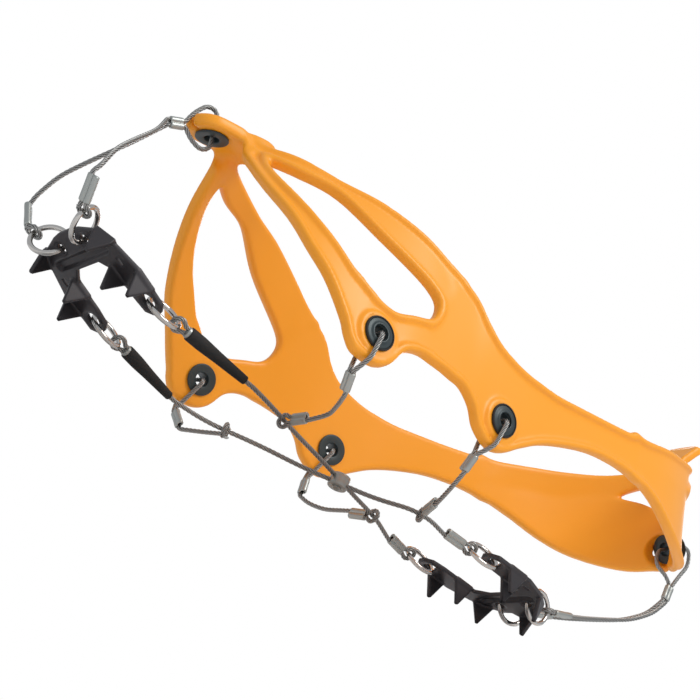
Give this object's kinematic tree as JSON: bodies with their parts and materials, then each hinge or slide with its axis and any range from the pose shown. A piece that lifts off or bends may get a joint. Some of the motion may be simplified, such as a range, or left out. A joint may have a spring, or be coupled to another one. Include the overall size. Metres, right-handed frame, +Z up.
{
  "type": "shoe ice cleats",
  "caption": "Pull-on shoe ice cleats: an elastomer harness over the shoe carries two folded steel spike plates under the sole on wire cables, crimps and rings.",
  "frame": {"origin": "middle of the footprint, on the plane that the spike tips stand on", "axes": "+X to the toe, +Y to the wearer's left, +Z up"},
  "size_m": [0.2926, 0.1086, 0.1133],
  "materials": {
    "elastomer": "satin",
    "grommet": "satin",
    "sleeve": "matte",
    "plate": "satin",
    "crimp": "satin",
    "ring": "polished",
    "cable": "satin"
  },
  "bodies": {
    "harness_and_cables": {"cable_sleeve_left": "sleeve", "cable_sleeve_right": "sleeve", "clamp_rivet": "crimp", "cross_cable_left": "cable", "cross_cable_right": "cable", "cross_front_crimp_left": "crimp", "cross_front_crimp_right": "crimp", "cross_rear_ferrule_left": "crimp", "cross_rear_ferrule_right": "crimp", "crossing_clamp": "crimp", "elastomer_harness": "elastomer", "grommet_inner_front_left": "grommet", "grommet_inner_front_right": "grommet", "grommet_inner_heel": "grommet", "grommet_inner_rear_left": "grommet", "grommet_inner_rear_right": "grommet", "grommet_inner_toe": "grommet", "grommet_outer_front_left": "grommet", "grommet_outer_front_right": "grommet", "grommet_outer_heel": "grommet", "grommet_outer_rear_left": "grommet", "grommet_outer_rear_right": "grommet", "grommet_outer_toe": "grommet", "heel_cable": "cable", "heel_centre_ferrule": "crimp", "heel_ring_ferrule_left": "crimp", "heel_ring_ferrule_right": "crimp", "side_cable_front_left": "cable", "side_cable_front_right": "cable", "side_cable_rear_left": "cable", "side_cable_rear_right": "cable", "side_low_ferrule_front_left": "crimp", "side_low_ferrule_front_right": "crimp", "side_low_ferrule_rear_left": "crimp", "side_low_ferrule_rear_right": "crimp", "side_top_ferrule_front_left": "crimp", "side_top_ferrule_front_right": "crimp", "side_top_ferrule_rear_left": "crimp", "side_top_ferrule_rear_right": "crimp", "toe_cable": "cable", "toe_centre_ferrule": "crimp", "toe_ring_ferrule_left": "crimp", "toe_ring_ferrule_right": "crimp"},
    "front_plate": {"front_spike_plate": "plate"},
    "heel_plate": {"heel_spike_plate": "plate"},
    "front_arm_ring_left": {"front_arm_ring_left": "ring"},
    "toe_ring_left": {"toe_ring_left": "ring"},
    "heel_arm_ring_left": {"heel_arm_ring_left": "ring"},
    "heel_rear_ring_left": {"heel_rear_ring_left": "ring"},
    "front_arm_ring_right": {"front_arm_ring_right": "ring"},
    "toe_ring_right": {"toe_ring_right": "ring"},
    "heel_arm_ring_right": {"heel_arm_ring_right": "ring"},
    "heel_rear_ring_right": {"heel_rear_ring_right": "ring"}
  },
  "joints": [
    {"name": "front_plate_pitch", "type": "hinge", "parent": "harness_and_cables", "child": "front_plate", "pos_m": [0.1095, 0, 0.0058], "axis": [0, 1, 0], "range_deg": [-2.5, 2.5], "stiffness_Nm_per_rad": 0.3},
    {"name": "heel_plate_pitch", "type": "hinge", "parent": "harness_and_cables", "child": "heel_plate", "pos_m": [-0.0443, 0, 0.008], "axis": [0, 1, 0], "range_deg": [-2.5, 2], "stiffness_Nm_per_rad": 0.3},
    {"name": "front_arm_ring_left_swing", "type": "hinge", "parent": "front_plate", "child": "front_arm_ring_left", "pos_m": [0.1095, 0.0164, 0.0058], "axis": [0, 1, 0], "range_deg": [-3, 3]},
    {"name": "toe_ring_left_swing", "type": "hinge", "parent": "front_plate", "child": "toe_ring_left", "pos_m": [0.13257, 0.0069, 0.01374], "axis": [0.7485, -0.6632, 0], "range_deg": [-7.3, 7.3]},
    {"name": "heel_arm_ring_left_swing", "type": "hinge", "parent": "heel_plate", "child": "heel_arm_ring_left", "pos_m": [-0.0443, 0.0165, 0.008], "axis": [0, 1, 0], "range_deg": [-3, 3]},
    {"name": "heel_rear_ring_left_swing", "type": "hinge", "parent": "heel_plate", "child": "heel_rear_ring_left", "pos_m": [-0.0715, 0.0069, 0.008], "axis": [-0.1263, 0.992, 0], "range_deg": [-8.7, 8.7]},
    {"name": "front_arm_ring_right_swing", "type": "hinge", "parent": "front_plate", "child": "front_arm_ring_right", "pos_m": [0.1095, -0.0164, 0.0058], "axis": [0, 1, 0], "range_deg": [-3, 3]},
    {"name": "toe_ring_right_swing", "type": "hinge", "parent": "front_plate", "child": "toe_ring_right", "pos_m": [0.13257, -0.0069, 0.01374], "axis": [-0.7485, -0.6632, 0], "range_deg": [-7.3, 7.3]},
    {"name": "heel_arm_ring_right_swing", "type": "hinge", "parent": "heel_plate", "child": "heel_arm_ring_right", "pos_m": [-0.0443, -0.0165, 0.008], "axis": [0, 1, 0], "range_deg": [-3, 3]},
    {"name": "heel_rear_ring_right_swing", "type": "hinge", "parent": "heel_plate", "child": "heel_rear_ring_right", "pos_m": [-0.0715, -0.0069, 0.008], "axis": [0.1263, 0.992, 0], "range_deg": [-8.7, 8.7]}
  ],
  "couplings": [
    {"joint": "front_arm_ring_left_swing", "follows": "front_plate_pitch", "ratio": -1},
    {"joint": "toe_ring_left_swing", "follows": "front_plate_pitch", "ratio": 2.7383},
    {"joint": "heel_arm_ring_left_swing", "follows": "heel_plate_pitch", "ratio": -1},
    {"joint": "heel_rear_ring_left_swing", "follows": "heel_plate_pitch", "ratio": -3.2844},
    {"joint": "front_arm_ring_right_swing", "follows": "front_plate_pitch", "ratio": -1},
    {"joint": "toe_ring_right_swing", "follows": "front_plate_pitch", "ratio": 2.7383},
    {"joint": "heel_arm_ring_right_swing", "follows": "heel_plate_pitch", "ratio": -1},
    {"joint": "heel_rear_ring_right_swing", "follows": "heel_plate_pitch", "ratio": -3.2844}
  ]
}
